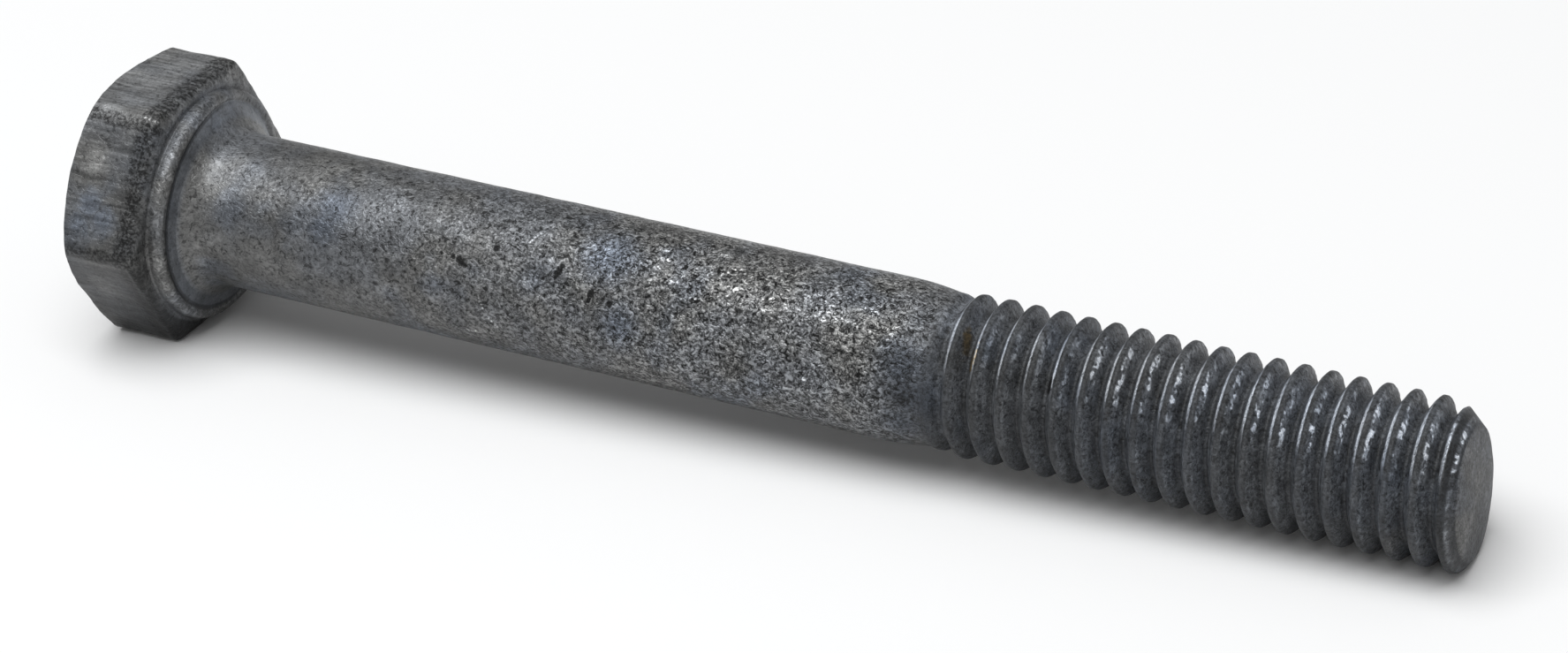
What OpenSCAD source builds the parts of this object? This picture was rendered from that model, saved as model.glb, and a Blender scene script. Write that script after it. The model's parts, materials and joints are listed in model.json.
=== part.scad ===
// Hex head bolt of galvanised steel, forged in one piece with a plain shank and a rolled thread.
// Sizes are in millimetres. The bolt is drawn along its own axis, with the washer face at zero and
// the point along +Z. It is then laid down as it comes to rest, on one flat and a thread crest.

/* [Head] */
// Width of the hexagon across its flats
across_flats = 9.7; // [9:0.05:11]
// Height of the head from the washer face to the top
head_height = 4.2; // [3:0.1:6]
// Angle of the chamfer round the top of the head
top_chamfer_angle = 30; // [15:1:35]
// Distance from the flats in to the circle where the top chamfer starts
top_circle_inset = 0.3; // [0.1:0.05:1]
// Angle of the chamfer on the corners beside the washer face
under_chamfer_angle = 40; // [20:1:45]
// Distance from the corners in to the circle where that chamfer starts
under_chamfer_inset = 0.45; // [0.1:0.05:0.6]
// Distance from the flats in to the rim of the washer face
washer_face_inset = 0.3; // [0.1:0.05:0.5]
// Thickness of the washer face
washer_face_height = 0.6; // [0.4:0.05:0.9]
// Rounding of the rim of the washer face
washer_rim_radius = 0.35; // [0.05:0.05:0.4]
// Fillet between the washer face and the shank
fillet_radius = 0.45; // [0.2:0.05:0.8]

/* [Shank] */
// Length of the bolt from the washer face to the point
length = 50.1; // [35:0.1:80]
// Diameter of the plain shank
shank_d = 5.93; // [5.8:0.01:6.3]
// Length of the rounded shoulder between the plain shank and the thread
shoulder_length = 2; // [1:0.1:4]
// Diameter of the shoulder where it meets the thread
blank_d = 5.6; // [5.3:0.02:5.7]

/* [Thread] */
// Length of the thread from the end of the shoulder to the point
thread_length = 19.9; // [10:0.1:25]
// Diameter over the thread crests
thread_d = 5.88; // [5.7:0.01:5.95]
// Distance from one thread crest to the next
thread_pitch = 1; // [0.8:0.05:1.25]
// Angle between the two flanks of a thread groove
flank_angle = 60; // [55:1:60]
// Width of each thread crest
crest_width = 0.24; // [0.16:0.02:0.4]
// Width of the bottom of each thread groove
root_width = 0.08; // [0.06:0.02:0.2]
// Height of the rounding on each crest and in each root
thread_rounding = 0.06; // [0.02:0.01:0.06]
// Length over which the thread grows to its full depth
run_out = 1.3; // [0.6:0.1:2]
// Turn of the thread round the bolt, from its lowest flat
thread_turn = 202; // [0:1:359]
// Diameter of the flat end of the point
point_d = 4.08; // [3.8:0.02:4.8]
// Angle of the point's chamfer, measured from the bolt's axis
point_angle = 50; // [30:1:55]
// Distance that the point's chamfer was cut off the bolt's axis
point_offset = 0.34; // [0:0.02:0.5]
// Direction in which it was cut off the axis, round the bolt from its lowest flat
point_offset_angle = -50; // [-180:1:180]

/* [Hidden] */
zinc_grey = [0.36, 0.37, 0.39];
// Facets round a full circle
$fn = 96;

// Radii and stations along the axis
corner_r = across_flats / sqrt(3);
// Turn that brings a flat of the hexagon, and not a corner, to face down
flat_turn = 30;
top_r = across_flats / 2 - top_circle_inset;
washer_r = across_flats / 2 - washer_face_inset;
shank_r = shank_d / 2;
blank_r = blank_d / 2;
point_r = point_d / 2;
thread_start = length - thread_length;
shoulder_start = thread_start - shoulder_length;
shoulder_drop = shank_r - blank_r;
shoulder_r = (shoulder_length ^ 2 + shoulder_drop ^ 2) / (2 * abs(shoulder_drop));

// Profile of one thread pitch, in shares of it: straight flanks between a flat root and a flat crest,
// with the crest's edges cut back and the root hollowed by the rounding
thread_depth = (thread_pitch - crest_width - root_width) / 2 / tan(flank_angle / 2);
crest_half = crest_width / thread_pitch / 2;
root_half = root_width / thread_pitch / 2;
edge_cut = thread_rounding * tan(flank_angle / 2) / thread_pitch;
crest_r = thread_d / 2;
root_r = crest_r - thread_depth;
profile = [
    [0, root_r],
    [root_half + edge_cut, root_r + thread_rounding],
    [1 / 2 - crest_half - edge_cut, crest_r - thread_rounding],
    [1 / 2 - crest_half + 2 * edge_cut, crest_r],
    [1 / 2 + crest_half - 2 * edge_cut, crest_r],
    [1 / 2 + crest_half + edge_cut, crest_r - thread_rounding],
    [1 - root_half - edge_cut, root_r + thread_rounding],
    [1, root_r]
];

// Grid of the helix: profile points along the axis, columns round it
columns = 36;
per_pitch = len(profile) - 1;
// The core of the thread reaches this far into the shoulder, and stays this far under its skin
core_sink = 0.5;
core_skin = 0.02;
core_r = blank_r - core_skin;
core_start = thread_start - core_sink;
// Whole turns of the grid below the core's start, where all of its points are drawn onto the start
turns_below = 2;
rows = per_pitch * (ceil((length - core_start) / thread_pitch) + 2 * turns_below);
// Points nearer than this to an end of the thread are drawn onto that end
end_snap = thread_pitch / 100;
start_ring = rows * columns;
end_ring = start_ring + columns;

function column_turns(column) = column / columns + thread_turn / 360;
function row_z(row, column) =
    let (turns = floor(row / per_pitch) - turns_below + profile[row % per_pitch][0] + column_turns(column))
    core_start + thread_pitch * turns;
function full_r(column, z) =
    let (turns = (z - core_start) / thread_pitch - column_turns(column))
    lookup(turns - floor(turns), profile);
function growth(z) = min(1, max(0, (z - thread_start) / run_out));
function chamfer_r(column, z) =
    point_r + (length - z) * tan(point_angle)
    + point_offset * cos(360 * column / columns - point_offset_angle);
function thread_r(column, z) =
    min(core_r + growth(z) * (full_r(column, z) - core_r), chamfer_r(column, z));
function thread_point(column, z) =
    let (r = thread_r(column, z), angle = 360 * column / columns)
    [r * cos(angle), r * sin(angle), z];
function lookup_index(row, column) =
    let (z = row_z(row, column))
    z < core_start + end_snap ? start_ring + column
    : z > length - end_snap ? end_ring + column
    : row * columns + column;
// A full turn later a row carries on as the row one pitch above it
function grid_index(row, column) =
    column < columns ? lookup_index(row, column) : lookup_index(row + per_pitch, column - columns);

thread_points = concat(
    [
        for (row = [0 : rows - 1], column = [0 : columns - 1])
            thread_point(column, min(length, max(core_start, row_z(row, column))))
    ],
    [for (column = [0 : columns - 1]) thread_point(column, core_start)],
    [for (column = [0 : columns - 1]) thread_point(column, length)]
);
thread_sides = [
    for (row = [0 : rows - per_pitch - 2], column = [0 : columns - 1])
        let (
            a = grid_index(row, column),
            b = grid_index(row, column + 1),
            c = grid_index(row + 1, column + 1),
            d = grid_index(row + 1, column)
        )
        for (face = [[a, c, b], [a, d, c]])
            if (face[0] != face[1] && face[1] != face[2] && face[2] != face[0]) face
];
thread_ends = [
    [for (column = [0 : columns - 1]) start_ring + column],
    [for (column = [columns - 1 : -1 : 0]) end_ring + column]
];

// Rest: the bolt turns on the washer side of its lowest flat until the first crest or edge touches
touch_angles = concat(
    [for (p = thread_points) atan2(across_flats / 2 - p[0], p[2] + washer_face_height)],
    [atan2(across_flats / 2 - shank_r, shoulder_start + washer_face_height)],
    [atan2(across_flats / 2 - blank_r, thread_start + washer_face_height)],
    [atan2(washer_face_inset, washer_face_height)]
);
tilt = min(touch_angles);
low_x = -head_height * cos(tilt) - top_r * sin(tilt);
high_x = max([for (p = thread_points) p[2] * cos(tilt) - p[0] * sin(tilt)]);
low_z = washer_face_height * sin(tilt) - across_flats / 2 * cos(tilt);

// Lays the bolt along +X, with the middle of its box over the origin and its lowest edge at zero
module lie_at_rest() {
    translate([-(low_x + high_x) / 2, 0, -low_z])
        rotate([0, 90 + tilt, 0])
            children();
}

// Outline that chamfers the hexagon's corners on both sides, from the axis out past the corners
module head_chamfer_outline() {
    outer_r = corner_r + top_circle_inset;
    under_r = corner_r - under_chamfer_inset;
    polygon([
        [0, -head_height],
        [top_r, -head_height],
        [outer_r, -head_height + (outer_r - top_r) * tan(top_chamfer_angle)],
        [outer_r, -washer_face_height - (outer_r - under_r) * tan(under_chamfer_angle)],
        [under_r, -washer_face_height],
        [0, -washer_face_height]
    ]);
}

module hexagon() {
    intersection() {
        translate([0, 0, -head_height])
            rotate([0, 0, flat_turn])
                cylinder(h = head_height - washer_face_height, r = corner_r, $fn = 6);
        rotate_extrude() head_chamfer_outline();
    }
}

// Outline of the washer face, the fillet, the plain shank and its shoulder, from the axis out
module shank_outline() {
    inside = head_height / 2;
    translate([0, -inside]) square([washer_r, inside - washer_rim_radius]);
    translate([0, -inside]) square([washer_r - washer_rim_radius, inside]);
    translate([washer_r - washer_rim_radius, -washer_rim_radius]) circle(washer_rim_radius);
    translate([0, -inside]) square([shank_r, shoulder_start + inside]);
    difference() {
        translate([0, -inside]) square([shank_r + fillet_radius, inside + fillet_radius]);
        translate([shank_r + fillet_radius, fillet_radius]) circle(fillet_radius);
    }
    translate([0, shoulder_start]) shoulder_outline();
}

// Outline of the shoulder: an arc that leaves the shank smoothly, in or out to the thread's blank
module shoulder_outline() {
    if (shoulder_drop > 0)
        intersection() {
            square([shank_r, shoulder_length]);
            translate([shank_r - shoulder_r, 0]) circle(shoulder_r);
        }
    else
        difference() {
            square([blank_r, shoulder_length]);
            translate([shank_r + shoulder_r, 0]) circle(shoulder_r);
        }
}

module thread() {
    polyhedron(points = thread_points, faces = concat(thread_sides, thread_ends));
}

module hex_bolt() {
    color(zinc_grey)
        lie_at_rest() {
            hexagon();
            rotate_extrude() shank_outline();
            thread();
        }
}

hex_bolt();
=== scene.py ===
import json
import math
from types import SimpleNamespace

import bpy
from mathutils import Euler, Matrix, Vector


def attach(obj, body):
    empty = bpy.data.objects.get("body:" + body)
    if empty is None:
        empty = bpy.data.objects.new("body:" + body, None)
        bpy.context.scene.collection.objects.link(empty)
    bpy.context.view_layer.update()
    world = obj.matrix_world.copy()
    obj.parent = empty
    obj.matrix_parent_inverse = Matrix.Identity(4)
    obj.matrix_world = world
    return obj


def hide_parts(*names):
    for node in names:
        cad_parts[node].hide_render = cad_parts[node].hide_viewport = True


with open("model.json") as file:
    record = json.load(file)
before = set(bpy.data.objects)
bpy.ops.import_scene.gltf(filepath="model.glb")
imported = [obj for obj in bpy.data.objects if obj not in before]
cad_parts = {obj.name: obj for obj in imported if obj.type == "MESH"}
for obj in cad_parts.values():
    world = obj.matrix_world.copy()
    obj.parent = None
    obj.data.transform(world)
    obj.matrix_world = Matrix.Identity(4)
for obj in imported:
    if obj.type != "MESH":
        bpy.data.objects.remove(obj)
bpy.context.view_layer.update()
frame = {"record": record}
scene = bpy.context.scene
scene.view_settings.view_transform = "Standard"

# Camera
# A short telephoto lens that looks down on the bolt from the side of its point.
# It leans a little about its own line of sight.
camera_place = (0.062320, -0.11780, 0.077714)
camera_azimuth = math.radians(27.514)
camera_elevation = math.radians(28.98)
camera_roll = math.radians(-3.398)
camera_data = bpy.data.cameras.new("camera")
camera_data.sensor_width = 36.0
camera_data.lens = 96.34
camera_data.clip_start = 0.005
camera_data.clip_end = 10.0
camera = bpy.data.objects.new("camera", camera_data)
camera_turn = Euler((math.pi / 2 - camera_elevation, 0.0, camera_azimuth)).to_matrix()
camera_turn = camera_turn @ Matrix.Rotation(camera_roll, 3, "Z")
camera.matrix_world = Matrix.Translation(camera_place) @ camera_turn.to_4x4()
scene.collection.objects.link(camera)
scene.camera = camera

# Bolt
# One piece of steel wire: the hexagon head and its washer face are forged, the thread is rolled.
# It was then dipped in molten zinc, which left a mottled grey coat with lumps on the thread crests.
millimetre = 0.001
mounts = {mount["name"]: mount for mount in frame["record"]["mounts"]}
bolt_axis = Vector(mounts["shank"]["axis"])
shank_middle = Vector(mounts["shank"]["pos_m"])
bearing_point = Vector(mounts["bearing_face"]["pos_m"])
bearing_centre = shank_middle + bolt_axis * (bearing_point - shank_middle).dot(bolt_axis)
bolt_turn = (0.0, math.pi / 2 + math.atan2(-bolt_axis.z, bolt_axis.x), 0.0)

# Sizes in millimetres, with stations along the axis from the bearing face to the point
sizes = {
    "across_flats": 9.7,
    "corner_softness": 0.6,
    "head_height": 4.2,
    "top_circle_radius": 4.55,
    "top_chamfer_slope": math.tan(math.radians(30.0)),
    "under_edge_radius": 0.36,
    "washer_radius": 4.48,
    "washer_height": 0.6,
    "ring_radius": 0.28,
    "ring_sink": 0.25,
    "face_rise": 0.08,
    "fillet_width": 0.55,
    "fillet_end": 0.95,
    "shank_radius": mounts["shank"]["dims"]["r_mm"],
    "shoulder_start": 28.2,
    "thread_start": 30.2,
    "blank_radius": 2.8,
    "crest_radius": 2.93,
    "root_radius": 2.36,
    "crest_half": 0.085,
    "root_half": 0.055,
    "lip_height": 0.02,
    "bead_height": 0.05,
    "pitch": 1.0,
    "run_out": 1.3,
    "helix_start": 29.7 + 202.0 / 360.0,
    "end_station": 49.83,
    "end_lean_down": 0.087,
    "end_lean_aside": -0.042,
    "end_crown": 0.12,
    "rim_radius": 2.48,
    "rim_slope": 0.85,
    "rim_offset": 0.28,
    "rim_offset_angle": math.radians(320.0),
    "edge_rounding": 0.10,
    "shank_lumps": 0.06,
    "head_lumps": 0.16,
}
fixed = SimpleNamespace(**sizes)


class Wire:
    """A socket in a node tree. Operators on it add Math nodes, and node() adds any other node."""

    def __init__(self, socket):
        self.socket = socket

    def node(self, kind, inputs=None, output=0, **settings):
        """Adds a node: its settings first, then the values or links of its sockets."""
        tree = self.socket.id_data
        added = tree.nodes.new(kind)
        for name, value in settings.items():
            setattr(added, name, value)
        for name, value in (inputs or {}).items():
            if isinstance(value, Wire):
                tree.links.new(value.socket, added.inputs[name])
            else:
                added.inputs[name].default_value = value
        return Wire(added.outputs[output])

    def maths(self, operation, *others):
        return self.node("ShaderNodeMath", dict(enumerate((self, *others))), operation=operation)

    def reflected(self, operation, other):
        return self.node("ShaderNodeMath", {0: other, 1: self}, operation=operation)

    def __add__(self, other):
        return self.maths("ADD", other)

    def __radd__(self, other):
        return self.reflected("ADD", other)

    def __sub__(self, other):
        return self.maths("SUBTRACT", other)

    def __rsub__(self, other):
        return self.reflected("SUBTRACT", other)

    def __mul__(self, other):
        return self.maths("MULTIPLY", other)

    def __rmul__(self, other):
        return self.reflected("MULTIPLY", other)

    def __truediv__(self, other):
        return self.maths("DIVIDE", other)

    def __rtruediv__(self, other):
        return self.reflected("DIVIDE", other)

    def __pow__(self, other):
        return self.maths("POWER", other)

    def __rpow__(self, other):
        return self.reflected("POWER", other)

    def __abs__(self):
        return self.maths("ABSOLUTE")

    def vector(self, operation, *others, output=0):
        inputs = dict(enumerate((self, *others)))
        return self.node("ShaderNodeVectorMath", inputs, output, operation=operation)

    def smooth(self, low, high):
        """0 up to low, 1 from high on, with a soft step between; low may lie above high."""
        return self.node("ShaderNodeMapRange", {"Value": self, 1: low, 2: high},
                         interpolation_type="SMOOTHSTEP")


def noise(place, scale, detail=2.0, roughness=0.6, stretch=1.0, distortion=0.0, shift=0.0, output=0):
    """Noise with so many lumps to the millimetre, drawn out along the bolt by stretch."""
    moved = place.vector("MULTIPLY_ADD", (1.0, 1.0, 1.0 / stretch), (shift, shift, shift))
    return moved.node("ShaderNodeTexNoise", {
        "Vector": moved,
        "Scale": scale,
        "Detail": detail,
        "Roughness": roughness,
        "Distortion": distortion,
    }, output)


def thread_phase(size, angle, along):
    """Share of a pitch from the middle of one crest, from -0.5 to 0.5."""
    turns = (along - size.helix_start) / size.pitch - angle / (2.0 * math.pi)
    return turns.maths("FRACT") - 0.5


def crest_beads(place):
    """Beads of zinc, from 0 to 1, that hang along the point side of the thread crest."""
    return noise(place, 3.0, detail=1.0, shift=71.0).smooth(0.47, 0.60)


def between(share, first, last):
    """The value at a share of the way from first to last."""
    return first + (last - first) * share


def end_plane(size, across, aside):
    """Station of the flat end, which was cut off a little askew."""
    return size.end_station + across * size.end_lean_down + aside * size.end_lean_aside


# Zinc coat: colours are linear
zinc_grey = (0.114, 0.119, 0.127)
zinc_blue = (0.103, 0.119, 0.147)
zinc_warm = (0.119, 0.119, 0.117)
rust_brown = (0.115, 0.082, 0.036)

coat = bpy.data.materials.new("zinc_coat")
coat.use_nodes = True
coat_nodes = coat.node_tree.nodes
coat_nodes.clear()
shader = coat_nodes.new("ShaderNodeBsdfPrincipled")
surface = coat_nodes.new("ShaderNodeOutputMaterial")
coat.node_tree.links.new(shader.outputs["BSDF"], surface.inputs["Surface"])

object_place = Wire(coat_nodes.new("ShaderNodeTexCoord").outputs["Object"])
# Millimetres along the bolt's own axes: down, aside and along
place = object_place.node(
    "ShaderNodeMapping",
    {"Vector": object_place, "Location": bearing_centre, "Rotation": bolt_turn,
     "Scale": (millimetre, millimetre, millimetre)},
    vector_type="TEXTURE",
)
across = place.node("ShaderNodeSeparateXYZ", {0: place}, output="X")
aside = Wire(across.socket.node.outputs["Y"])
station = Wire(across.socket.node.outputs["Z"])
from_axis = (across * across + aside * aside).maths("SQRT")
bearing = aside.maths("ARCTAN2", across)
# The same bearing with its seam underneath, where it doesn't show
upper_bearing = (0.0 - aside).maths("ARCTAN2", 0.0 - across)


def jittered(scale, reach):
    """The place, moved about by so many millimetres, for edges that run ragged."""
    shake = noise(place, scale, shift=9.0, output="Color").vector("SUBTRACT", (0.5, 0.5, 0.5))
    return shake.vector("MULTIPLY_ADD", (2.0 * reach, 2.0 * reach, 2.0 * reach), place)


ragged = jittered(3.5, 0.25)
nicked = jittered(6.0, 0.10)
ragged_across = ragged.node("ShaderNodeSeparateXYZ", {0: ragged}, output="X")
ragged_aside = Wire(ragged_across.socket.node.outputs["Y"])
ragged_station = Wire(ragged_across.socket.node.outputs["Z"])


def marks(outline, radius, places, stretch=1.0, softness=0.4):
    """Mask of marks on the skin: the station, the bearing in degrees and the size of each."""
    drawn = outline.vector("MULTIPLY", (1.0, 1.0, 1.0 / stretch))
    mask = None
    for along, degrees, spread in places:
        turn = math.radians(degrees)
        centre = (radius * math.cos(turn), radius * math.sin(turn), along / stretch)
        mark = drawn.vector("DISTANCE", centre, output="Value").smooth(spread, spread * softness)
        mask = mark if mask is None else mask.maths("MAXIMUM", mark)
    return mask


def mixed(factor, first, second):
    """A colour between first and second, each a wire or three numbers."""
    colours = [colour if isinstance(colour, Wire) else (*colour, 1.0) for colour in (first, second)]
    return place.node("ShaderNodeMix", {0: factor, 6: colours[0], 7: colours[1]}, 2, data_type="RGBA")


# Masks of the bolt's parts, from the head to the end
flat_radius = fixed.across_flats / 2.0
crease_middle = 4.02
on_flats = from_axis.smooth(flat_radius - 0.25, flat_radius - 0.1) * station.smooth(-0.3, -0.5)
on_top_flat = on_flats * across.smooth(-4.2, -4.6)
on_face = station.smooth(-0.45, -0.3) * station.smooth(0.3, 0.1)
near_side = aside.smooth(2.0, -1.0)
on_rim = on_face * from_axis.smooth(fixed.washer_radius - 0.42, fixed.washer_radius - 0.32)
# Painted shade with some dirt: the crease inside the ring, on the side towards the camera
crease_dirt_and_shade = on_face * abs(from_axis - crease_middle).smooth(0.14, 0.05) * near_side
on_annulus = on_face * from_axis.smooth(3.3, 3.6) * from_axis.smooth(4.1, 4.0)
on_fillet = from_axis.smooth(3.7, 3.3) * station.smooth(-0.1, 0.12) * station.smooth(2.6, 0.7)
on_shank = from_axis.smooth(3.3, 3.1)
on_thread = station.smooth(fixed.thread_start - 0.1, fixed.thread_start + 0.6)
off_crest = thread_phase(fixed, bearing, station)
past_end = station - end_plane(fixed, across, aside)
on_end = past_end.smooth(-0.05, 0.0)
bare_thread = on_thread * (1.0 - on_end)

# Structure of the coat, from fine to broad
grain = noise(place, 9.0, stretch=1.05)
flake = noise(place, 5.6, stretch=1.25, distortion=0.8, shift=17.0)
worm = noise(place, 3.0, detail=1.5, stretch=1.25, distortion=1.5, shift=61.0)
scratch = noise(place, 6.0, detail=1.5, stretch=12.0, shift=23.0)
lines_per_pitch = 6.0
lines_per_radian = 1.6
along_thread = place.node("ShaderNodeCombineXYZ", {
    0: upper_bearing * lines_per_radian,
    1: station * lines_per_pitch - upper_bearing * (lines_per_pitch / (2.0 * math.pi)),
})
rolled_lines = noise(along_thread, 1.0)
mottle = noise(place, 1.2, detail=3.0, stretch=1.4, shift=31.0)
cloud = noise(place, 0.36, shift=47.0)
patch = noise(place, 0.25, shift=5.0)
bright_flakes = flake.smooth(0.53, 0.64)
flake_edges = abs(flake - 0.5).smooth(0.035, 0.008)
pores = flake.smooth(0.44, 0.34)
bright_grains = grain.smooth(0.54, 0.66)
worm_lines = abs(worm - 0.5).smooth(0.05, 0.012) * station.smooth(6.0, 16.0)

# Marks where the coat was knocked, flaked or stained, and painted highlights, each on the skin at its
# distance from the axis
flat_skin = 4.95
corner_skin = 5.45
groove_skin = 2.55
pits = marks(nicked, fixed.shank_radius, [
    (11.10, 236.0, 0.09), (11.60, 236.5, 0.12), (11.85, 237.5, 0.17), (12.00, 239.0, 0.19),
    (12.12, 241.0, 0.13), (15.97, 226.5, 0.12), (15.92, 229.5, 0.16), (15.86, 232.5, 0.16),
    (15.80, 235.0, 0.12), (17.36, 239.9, 0.17), (17.30, 242.5, 0.14), (17.30, 245.5, 0.10),
    (18.17, 244.8, 0.16), (13.21, 224.2, 0.16)])
thread_pits = marks(nicked, groove_skin, [
    (35.02, 229.0, 0.24), (35.08, 232.0, 0.30), (34.98, 235.0, 0.24)])
streaks = marks(nicked, fixed.shank_radius, [
    (19.75, 204.0, 0.13), (20.24, 220.5, 0.13), (19.45, 196.0, 0.10), (20.80, 230.0, 0.11),
    (21.30, 228.5, 0.09), (21.80, 188.5, 0.11), (22.50, 199.0, 0.12), (22.70, 214.5, 0.12),
    (12.36, 294.0, 0.10)], stretch=4.0)
nicks = marks(place, fixed.shank_radius, [
    (14.39, 214.5, 0.08), (14.46, 212.3, 0.09), (14.53, 210.0, 0.09), (14.60, 207.8, 0.09),
    (14.67, 205.4, 0.08), (12.84, 260.5, 0.07), (12.86, 262.5, 0.08), (12.89, 264.6, 0.09),
    (12.94, 266.9, 0.09), (13.00, 269.2, 0.07), (13.22, 277.0, 0.08), (13.32, 279.4, 0.09),
    (13.43, 281.6, 0.09), (13.55, 283.7, 0.08)], softness=0.2)
# Painted highlight: patches along the shank's highlight where bright flakes are made brighter
painted_glitter = marks(ragged, fixed.shank_radius, [
    (22.3, 211.0, 1.1), (24.0, 210.0, 0.9), (26.6, 211.0, 1.1), (28.2, 212.0, 1.1),
    (29.2, 221.0, 0.8), (25.2, 279.0, 0.6), (26.2, 275.0, 0.6)], softness=0.1)
# Painted highlight: patches near the head, along the shank's highlight, where bright grains are made
# brighter
painted_sparkle = marks(ragged, fixed.shank_radius, [
    (2.2, 216.0, 1.2), (3.4, 222.0, 1.4), (5.0, 213.0, 1.2), (8.4, 209.0, 1.3),
    (11.5, 212.0, 1.4)], softness=0.0)
# Painted highlight: soft lighter patches on the shank next to the head
painted_glow = marks(ragged, fixed.shank_radius, [
    (0.9, 212.0, 1.1), (1.5, 226.0, 1.1), (2.2, 204.0, 1.2)], softness=0.0)
# Painted highlight: glints along one corner of the head, near its washer side
painted_glint = marks(nicked, corner_skin, [
    (-1.30, 210.0, 0.10), (-1.10, 210.0, 0.12), (-0.80, 210.0, 0.15), (-0.62, 209.0, 0.12)])
white_speck = marks(place, fixed.shank_radius, [(26.06, 266.5, 0.10)], softness=0.6)
smear = marks(ragged, flat_skin, [
    (-2.9, 250.0, 0.9), (-2.2, 256.0, 0.9), (-3.2, 260.0, 0.8)], softness=0.2)
worn_flats = marks(ragged, flat_skin, [(-3.0, 231.0, 0.8), (-2.7, 292.0, 1.3)], softness=0.1)
shaded = marks(ragged, fixed.blank_radius, [
    (29.7, 242.0, 1.5), (30.2, 264.0, 1.7), (29.8, 288.0, 1.5)], softness=0.0)

# Lightness in doublings from the plain grey. The crystals grow coarser from the head to the thread,
# and the underside of the shank is painted darker, as painted shade
coarse = 0.44 + 0.92 * station.smooth(-2.0, 21.0) + 0.2 * station.smooth(17.0, 21.0)
coarse = coarse * (1.0 - 0.25 * station.smooth(28.8, 30.4)) * (1.0 - 0.2 * shaded)
coarse = coarse * (1.0 - 0.2 * on_flats) * (1.0 - 0.5 * on_annulus) * (1.0 - 0.45 * on_thread)
brightest_crystal = 1.1
crystals = (grain - 0.5) * 5.0 + bright_flakes - pores * 2.8
crystals = crystals - flake_edges * 1.1 - worm_lines * 1.1 + 0.6
crystals = crystals.maths("SMOOTH_MIN", brightest_crystal, 1.0)
lightness = (mottle - 0.5) * 2.2 + coarse * crystals
lightness = lightness + on_thread * (rolled_lines - 0.5) * 2.4
# Pits are darker; the corner glints are a painted highlight
lightness = lightness - (pits + thread_pits) * 4.0 + painted_glint * 2.0 + white_speck * 2.8
lightness = lightness + streaks * (1.1 + bright_grains * 1.2) + nicks * 2.0
# Painted highlight: sparkle of flakes and grains along the shank's highlight
lightness = lightness + painted_glitter * bright_flakes * 0.8 + painted_sparkle * bright_grains * 0.8
# The soft patches next to the head are a painted highlight
lightness = lightness - shaded + painted_glow * 0.5
# Painted shade: the underside of the shank is painted darker
lightness = lightness - on_shank * (across / from_axis).smooth(0.5, 0.95) * 0.6

# The head keeps dirt from forging along the washer side of its flats, and is darker along two of its
# corners
sixty = math.radians(60.0)
forging_edge = ragged_station.smooth(-1.7, -1.25) * ragged_station.smooth(-0.62, -0.88) * on_flats
beside_corner = math.cos(sixty) * ragged_across - math.sin(sixty) * ragged_aside - 0.25
towards_corner = math.sin(sixty) * across + math.cos(sixty) * aside
upper_corner = abs(beside_corner).smooth(0.32, 0.12) * towards_corner.smooth(-4.9, -5.1)
lower_corner = abs(ragged_across).smooth(0.38, 0.12) * aside.smooth(-4.9, -5.1)
corners = (upper_corner * 0.7).maths("MAXIMUM", lower_corner * 0.8) * on_flats
forging_dirt_and_dark_corners = forging_edge.maths("MAXIMUM", corners)
lightness = lightness - forging_dirt_and_dark_corners * (0.7 + 2.0 * grain.smooth(0.58, 0.40))
# Painted light and shade on the head: the top flat is lighter, and the flats grow darker downwards,
# darkest along the bottom edge
lightness = lightness + on_top_flat * 0.25 - on_flats * (0.12 * across + 0.15)
lightness = lightness - on_flats * (0.95 * across.smooth(0.0, 1.0) + 0.7 * across.smooth(3.2, 4.6))
lightness = lightness + smear * 0.3 + worn_flats * 1.2 + on_flats * (scratch - 0.5) * 2.8
# Painted highlight on the ring, and painted shade with some dirt in the crease inside it, on the side
# towards the camera
lightness = lightness + on_rim * near_side * (0.35 + bright_flakes * 0.5) - crease_dirt_and_shade * 1.3
# The annulus is lighter, and the fillet is painted lighter as a painted highlight
lightness = lightness + on_annulus * 0.6 + on_fillet * 0.45

# The thread is dull, apart from two lips along each crest: they are worn bright, and the one towards
# the point is beaded. On one side the lips carry a painted highlight, and the thread there painted
# shade
highlight_bearing = math.radians(210.0)
shade_bearing = math.radians(222.0)
painted_highlight_side = (bearing - highlight_bearing).maths("COSINE").smooth(0.80, 0.99)
painted_shade_side = (bearing - shade_bearing).maths("COSINE").smooth(0.92, 0.995)
head_lip = abs(off_crest + 0.20).smooth(0.13, 0.04) * bare_thread * station.smooth(30.7, 31.3)
beaded = (0.25 + 0.75 * crest_beads(place)) * (0.45 + 0.55 * station.smooth(34.8, 36.8))
beaded = beaded * bare_thread * station.smooth(31.5, 32.3)
point_lip = abs(off_crest - 0.18).smooth(0.12, 0.04) * beaded
lips = head_lip.maths("MAXIMUM", point_lip)
crest = abs(off_crest).smooth(0.16, 0.08) * bare_thread
crest_edge = abs(off_crest + 0.27).smooth(0.06, 0.02) * bare_thread * (1.0 - painted_highlight_side)
groove = abs(off_crest).smooth(0.33, 0.46) * bare_thread * station.smooth(31.0, 31.8)
end_chamfer = past_end.smooth(-0.9, -0.5) * (1.0 - on_end)
# Painted highlight: the lips are painted far brighter on one side of the bolt
lightness = lightness + (head_lip + point_lip) * (0.3 + 2.9 * painted_highlight_side) - groove
lightness = lightness - crest * 0.9 - crest_edge * 0.7 + on_end * 0.05
lightness = lightness - end_chamfer * (1.0 - 0.8 * point_lip) * 0.8
# Painted shade: the thread is painted darker in a band on that side, except on the lips
lightness = lightness - bare_thread * (0.05 + 0.9 * painted_shade_side * (1.0 - lips))

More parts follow.
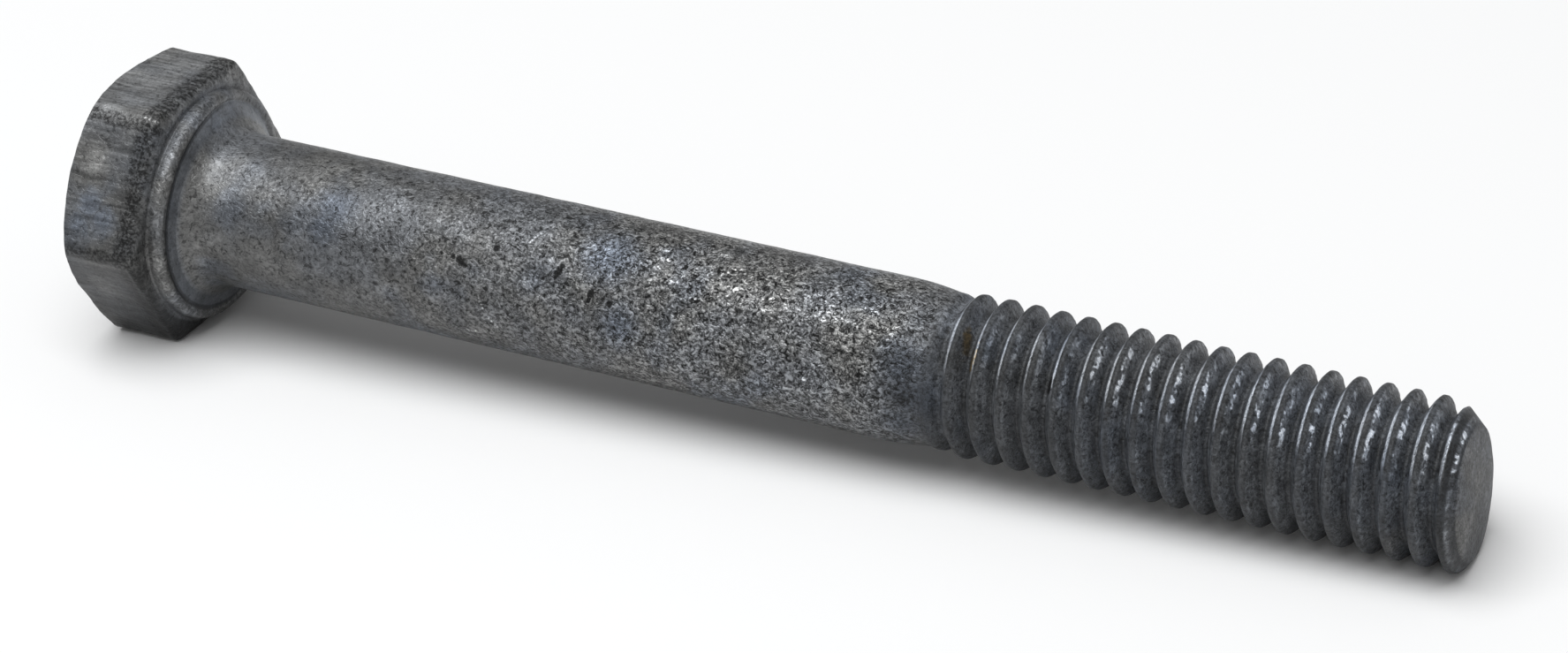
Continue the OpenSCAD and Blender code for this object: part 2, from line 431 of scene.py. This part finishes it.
# Colour: grey with blue and warm patches, and rust by the first turn of the thread
tone = mixed(patch.smooth(0.40, 0.62), zinc_warm, zinc_grey)
tone = mixed(cloud.smooth(0.52, 0.70) * 0.45, tone, zinc_blue)
blue = marks(ragged, fixed.shank_radius, [
    (17.6, 212.0, 1.7), (6.2, 221.0, 1.4), (6.0, 236.0, 1.1), (18.6, 259.0, 1.3)], softness=0.1)
blue = blue.maths("MAXIMUM", smear).maths("MAXIMUM", shaded)
tone = mixed(blue * 0.8 + on_annulus * 0.4 + bare_thread * 0.35, tone, zinc_blue)
warm = marks(ragged, fixed.shank_radius, [
    (3.3, 270.0, 1.5), (27.7, 247.0, 1.3), (48.0, 295.0, 1.0)], softness=0.1)
warm = warm.maths("MAXIMUM", worn_flats).maths("MAXIMUM", on_top_flat * 0.7)
tone = mixed(warm * 0.8, tone, zinc_warm)
rust_skin = 2.6
bead_skin = 2.84
rust = marks(nicked, rust_skin, [
    (31.40, 202.0, 0.28), (31.58, 208.0, 0.32), (31.75, 214.0, 0.32), (31.88, 220.0, 0.30),
    (31.98, 227.0, 0.28), (32.05, 232.0, 0.24)])
rust_bead = marks(nicked, bead_skin, [
    (32.18, 224.0, 0.21), (32.16, 219.5, 0.16), (32.12, 213.0, 0.12), (32.20, 228.5, 0.12)])
tone = mixed(rust.maths("MAXIMUM", rust_bead * 0.7), tone, rust_brown)
lightness = lightness + rust_bead - rust * 0.6
tone = tone.node("ShaderNodeVectorMath", {0: tone, "Scale": 2.0 ** lightness}, operation="SCALE")
coat.node_tree.links.new(tone.socket, shader.inputs["Base Color"])

# Gloss and relief: the coat shines most on the shank before the thread, and on the worn lips
relief_depth = 0.06 * millimetre
relief_strength = 0.5
glossy = on_shank * station.smooth(13.0, 21.0) * station.smooth(30.0, 28.0)
metal = 0.48 + 0.14 * bright_flakes * coarse + 0.16 * glossy - 0.32 * on_thread + 0.3 * lips
coat.node_tree.links.new(metal.socket, shader.inputs["Metallic"])
roughness = 0.43 - 0.04 * bright_flakes * coarse - 0.05 * glossy + 0.13 * on_thread - 0.15 * lips
coat.node_tree.links.new(roughness.socket, shader.inputs["Roughness"])
relief = coarse * (grain * 0.5 + bright_flakes * 0.6 - pores * 0.6 - worm_lines * 0.4) + mottle * 0.8
relief = relief - (pits + thread_pits) * 0.8 + streaks * 0.4 + scratch * on_flats * 0.4
bump = relief.node("ShaderNodeBump", {
    "Height": relief, "Distance": relief_depth, "Strength": relief_strength})
coat.node_tree.links.new(bump.socket, shader.inputs["Normal"])

# Skin of the bolt: bands of a grid, each wrapped round the axis, whose edges meet
skin = bpy.data.node_groups.new("forged_and_rolled", "GeometryNodeTree")
skin.interface.new_socket("Geometry", in_out="OUTPUT", socket_type="NodeSocketGeometry")
for name in sizes:
    skin.interface.new_socket(name, in_out="INPUT", socket_type="NodeSocketFloat")
size_node = skin.nodes.new("NodeGroupInput")
size = SimpleNamespace(**{name: Wire(size_node.outputs[name]) for name in sizes})
start = size.end_station
columns = 180
flats = 6


def position(band_radius, angle, along):
    return start.node("ShaderNodeCombineXYZ", {
        0: band_radius * angle.maths("COSINE"),
        1: band_radius * angle.maths("SINE"),
        2: along,
    })


def band(rows, shape, crowd=True):
    """A band of the skin from share 0 to share 1, whose radius and station shape() gives.
    Its rows crowd towards both edges unless told not to."""
    grid = start.node("GeometryNodeMeshGrid", {"Vertices X": rows + 1, "Vertices Y": columns + 1})
    index = start.node("GeometryNodeInputIndex")
    row = (index / (columns + 1)).maths("FLOOR")
    angle = (index - row * (columns + 1)) * (2.0 * math.pi / columns)
    share = row / rows
    if crowd:
        share = share.smooth(0.0, 1.0)
    band_radius, along = shape(share, angle)
    return start.node("GeometryNodeSetPosition",
                      {"Geometry": grid, "Position": position(band_radius, angle, along)})


def hexagon_radius(angle):
    """Distance from the axis to the flats, one of which faces down, with softened corners between."""
    flat = 2.0 * math.pi / flats
    turned = abs((angle + flat / 2.0).maths("MODULO", flat) - flat / 2.0)
    this_flat = size.across_flats / 2.0 / turned.maths("COSINE")
    next_flat = size.across_flats / 2.0 / (flat - turned).maths("COSINE")
    return this_flat.maths("SMOOTH_MIN", next_flat, size.corner_softness)


def head_top(share, angle):
    return size.top_circle_radius * share, 0.0 - size.head_height


def top_chamfer(share, angle):
    out = (hexagon_radius(angle) - size.top_circle_radius) * share
    return size.top_circle_radius + out, out * size.top_chamfer_slope - size.head_height


def flat_sides(share, angle):
    hexagon = hexagon_radius(angle)
    upper = (hexagon - size.top_circle_radius) * size.top_chamfer_slope - size.head_height
    return hexagon, between(share, upper, 0.0 - size.washer_height - size.under_edge_radius)


def under_edges(share, angle):
    turn = share * (math.pi / 2.0)
    return (between(turn.maths("COSINE"), size.washer_radius, hexagon_radius(angle)),
            size.under_edge_radius * (turn.maths("SINE") - 1.0) - size.washer_height)


ring_sweep = math.radians(125.0)
sunk_side = math.radians(110.0)


def ring_drop(angle):
    """How far the ring round the washer face sinks towards its far side."""
    return size.ring_sink * (angle - sunk_side).maths("COSINE").smooth(0.0, 0.9)


def washer_side(share, angle):
    ring_start = 0.0 - size.ring_radius - ring_drop(angle)
    return size.washer_radius, between(share, 0.0 - size.washer_height, ring_start)


def washer_ring(share, angle):
    turn = share * ring_sweep
    return (size.washer_radius - size.ring_radius + size.ring_radius * turn.maths("COSINE"),
            size.ring_radius * (turn.maths("SINE") - 1.0) - ring_drop(angle))


def bearing_face(share, angle):
    crease_radius = size.washer_radius - size.ring_radius * (1.0 - math.cos(ring_sweep))
    crease_station = size.ring_radius * (math.sin(ring_sweep) - 1.0) - ring_drop(angle)
    return (between(share, crease_radius, size.shank_radius + size.fillet_width),
            between(share, crease_station, size.face_rise))


fillet_curve = 2.0


def fillet(share, angle):
    return (size.shank_radius + size.fillet_width * (1.0 - share) ** fillet_curve,
            between(share, size.face_rise, size.fillet_end))


def plain_shank(share, angle):
    return size.shank_radius, between(share, size.fillet_end, size.shoulder_start)


def shoulder(share, angle):
    return (size.shank_radius - (size.shank_radius - size.blank_radius) * share ** 2.0,
            between(share, size.shoulder_start, size.thread_start))


rows_per_pitch = 16
turns_before = 2
thread_turns = 22
crest_rounding = 0.12
root_rounding = 0.10
lip_half = 0.08
head_lip_middle = -0.19
point_lip_middle = 0.17


def rim_station(angle):
    """Station of the rim round the flat end."""
    across_rim = size.rim_radius * angle.maths("COSINE")
    aside_rim = size.rim_radius * angle.maths("SINE")
    return end_plane(size, across_rim, aside_rim)


def thread_radius(angle, along):
    off_middle = thread_phase(size, angle, along)
    flank = (0.5 - size.root_half - abs(off_middle)) / (0.5 - size.root_half - size.crest_half)
    height = flank.maths("SMOOTH_MIN", 1.0, crest_rounding).maths("SMOOTH_MAX", 0.0, root_rounding)
    beads = crest_beads(position(size.crest_radius, angle, along)) * size.bead_height
    lip = abs(off_middle - head_lip_middle).smooth(lip_half, 0.0) * size.lip_height
    beaded_lip = abs(off_middle - point_lip_middle).smooth(lip_half, 0.0) * beads
    full = between(height, size.root_radius, size.crest_radius) + lip + beaded_lip
    grown = along.smooth(size.thread_start, size.thread_start + size.run_out)
    rolled = between(grown, size.blank_radius, full)
    off_centre = size.rim_offset * (angle - size.rim_offset_angle).maths("COSINE")
    chamfer = size.rim_radius + off_centre + (rim_station(angle) - along) * size.rim_slope
    return rolled.maths("SMOOTH_MIN", chamfer, size.edge_rounding)


def rolled_thread(share, angle):
    turns = share * thread_turns - turns_before + angle / (2.0 * math.pi)
    along = size.helix_start + turns * size.pitch
    along = along.maths("MAXIMUM", size.thread_start).maths("MINIMUM", rim_station(angle))
    return thread_radius(angle, along), along


crown_power = 3.0


def crowned_end(share, angle):
    rim = rim_station(angle)
    crown = size.end_crown * (1.0 - (1.0 - share) ** crown_power)
    return thread_radius(angle, rim) * (1.0 - share), between(share, rim, size.end_station) + crown


bands = [
    band(8, head_top),
    band(6, top_chamfer),
    band(22, flat_sides),
    band(8, under_edges, crowd=False),
    band(3, washer_side),
    band(9, washer_ring, crowd=False),
    band(6, bearing_face),
    band(8, fillet, crowd=False),
    band(90, plain_shank, crowd=False),
    band(10, shoulder, crowd=False),
    band(rows_per_pitch * thread_turns, rolled_thread, crowd=False),
    band(12, crowned_end, crowd=False),
]
join = skin.nodes.new("GeometryNodeJoinGeometry")
for piece in reversed(bands):
    skin.links.new(piece.socket, join.inputs[0])
joined = Wire(join.outputs[0])
seam_gap = 0.0005
merged = joined.node("GeometryNodeMergeByDistance", {"Geometry": joined, "Distance": seam_gap})
turned_out = merged.node("GeometryNodeFlipFaces", {"Mesh": merged})

# Lumps of the coat, which stand out more on the head
here = start.node("GeometryNodeInputPosition")
here_station = here.node("ShaderNodeSeparateXYZ", {0: here}, output="Z")
lump_height = between(here_station.smooth(0.0, -0.6), size.shank_lumps, size.head_lumps)
lump = (noise(here, 0.9, shift=3.0) - 0.5) * lump_height
outward = start.node("GeometryNodeInputNormal")
lump_move = outward.node("ShaderNodeVectorMath", {0: outward, "Scale": lump}, operation="SCALE")
lumpy = turned_out.node("GeometryNodeSetPosition", {"Geometry": turned_out, "Offset": lump_move})
smooth = lumpy.node("GeometryNodeSetShadeSmooth", {"Geometry": lumpy})
laid = smooth.node("GeometryNodeTransform", {
    "Geometry": smooth, "Translation": bearing_centre, "Rotation": bolt_turn,
    "Scale": (millimetre, millimetre, millimetre),
})
realized = laid.node("GeometryNodeRealizeInstances", {"Geometry": laid})
coated = realized.node("GeometryNodeSetMaterial", {"Geometry": realized, "Material": coat})
skin_output = skin.nodes.new("NodeGroupOutput")
skin.links.new(coated.socket, skin_output.inputs[0])

bolt = bpy.data.objects.new("galvanised_bolt", bpy.data.meshes.new("galvanised_bolt"))
scene.collection.objects.link(bolt)
forming = bolt.modifiers.new("forming", "NODES")
forming.node_group = skin
for item in skin.interface.items_tree:
    if item.in_out == "INPUT":
        forming[item.identifier] = sizes[item.name]
evaluated = bolt.evaluated_get(bpy.context.evaluated_depsgraph_get())
bolt_mesh = bpy.data.meshes.new_from_object(evaluated)
bolt.modifiers.remove(forming)
bolt.data = bolt_mesh
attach(bolt, "root")
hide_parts("hex_bolt")

# Floor
# A plain white sheet, wide enough to fill the view, which shows white and keeps the bolt's shadow.
# It throws back only part of the light, as a grey table would.
floor_half = 1.0
seen_white = (0.98, 0.98, 0.98, 1.0)
bounce_grey = (0.22, 0.22, 0.22, 1.0)
floor_mesh = bpy.data.meshes.new("floor")
floor_corners = [(-floor_half, -floor_half, 0.0), (floor_half, -floor_half, 0.0),
                 (floor_half, floor_half, 0.0), (-floor_half, floor_half, 0.0)]
floor_mesh.from_pydata(floor_corners, [], [(0, 1, 2, 3)])
floor = bpy.data.objects.new("floor", floor_mesh)
scene.collection.objects.link(floor)
paper = bpy.data.materials.new("white_sheet")
paper.use_nodes = True
paper_nodes = paper.node_tree.nodes
paper_nodes.clear()
seen = Wire(paper_nodes.new("ShaderNodeLightPath").outputs["Is Camera Ray"])
for ray in ("Is Glossy Ray", "Is Transmission Ray"):
    seen = seen.maths("MAXIMUM", seen.node("ShaderNodeLightPath", output=ray))
bounce = seen.node("ShaderNodeBsdfDiffuse", {"Color": bounce_grey})
white = seen.node("ShaderNodeBsdfDiffuse", {"Color": seen_white})
sheet = seen.node("ShaderNodeMixShader", {0: seen, 1: bounce, 2: white})
paper_surface = paper_nodes.new("ShaderNodeOutputMaterial")
paper.node_tree.links.new(sheet.socket, paper_surface.inputs["Surface"])
floor_mesh.materials.append(paper)

# Light
# A wide soft lamp overhead, a little towards the camera, and an even white room.
# Both are at a plain level, at which colours render about as they are written.
lamp_data = bpy.data.lights.new("overhead_lamp", "AREA")
lamp_data.shape = "RECTANGLE"
lamp_data.size = 0.5
lamp_data.size_y = 0.4
lamp_data.energy = 2.15
lamp_data.color = (0.985, 0.994, 1.0)
lamp = bpy.data.objects.new("overhead_lamp", lamp_data)
lamp_place = Vector((-0.05, -0.12, 0.45))
lamp_turn = (-lamp_place).to_track_quat("-Z", "Y").to_matrix().to_4x4()
lamp.matrix_world = Matrix.Translation(lamp_place) @ lamp_turn
scene.collection.objects.link(lamp)

room = bpy.data.worlds.new("white_room")
room.use_nodes = True
room_background = room.node_tree.nodes["Background"]
room_background.inputs["Color"].default_value = (1.0, 1.0, 1.0, 1.0)
room_background.inputs["Strength"].default_value = 0.3
scene.world = room
